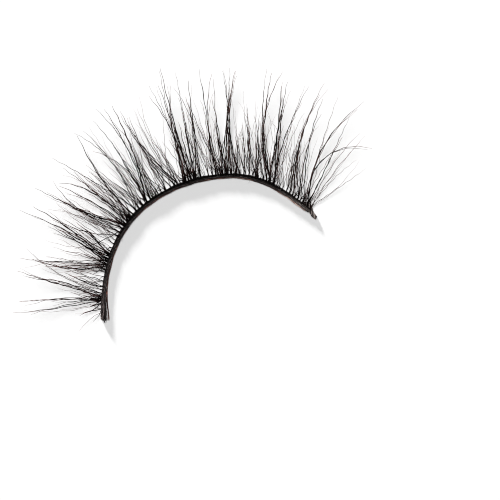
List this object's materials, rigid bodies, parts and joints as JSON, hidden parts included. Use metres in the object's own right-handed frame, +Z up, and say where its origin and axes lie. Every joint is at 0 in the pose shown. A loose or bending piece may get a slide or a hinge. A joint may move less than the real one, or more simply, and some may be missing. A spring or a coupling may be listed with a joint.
{
  "type": "false eyelash strip",
  "caption": "Arched cotton band with fans of fine curled hair locks tied along its outer edge, worn glued along the upper eyelid.",
  "frame": {"origin": "middle of the band's flat foot at the top of its arch, on the surface that the strip lies on", "axes": "+X along the arch from its left end to its right end, +Y from the band to the lash tips, +Z up, away from the surface"},
  "size_m": [0.0446, 0.0224, 0.008],
  "materials": {
    "band": "matte black cotton cord",
    "hair": "soft black hair with a low sheen",
    "thread": "matte grey-brown cotton thread"
  },
  "bodies": {
    "root": {"lash_band": "band", "lash_fan_01": "hair", "lash_fan_02": "hair", "lash_fan_03": "hair", "lash_fan_04": "hair", "lash_fan_05": "hair", "lash_fan_06": "hair", "lash_fan_07": "hair", "lash_fan_08": "hair", "lash_fan_09": "hair", "lash_fan_10": "hair", "lash_fan_11": "hair", "lash_fan_12": "hair", "thread_tail": "thread", "split_thread": "thread"}
  },
  "joints": []
}
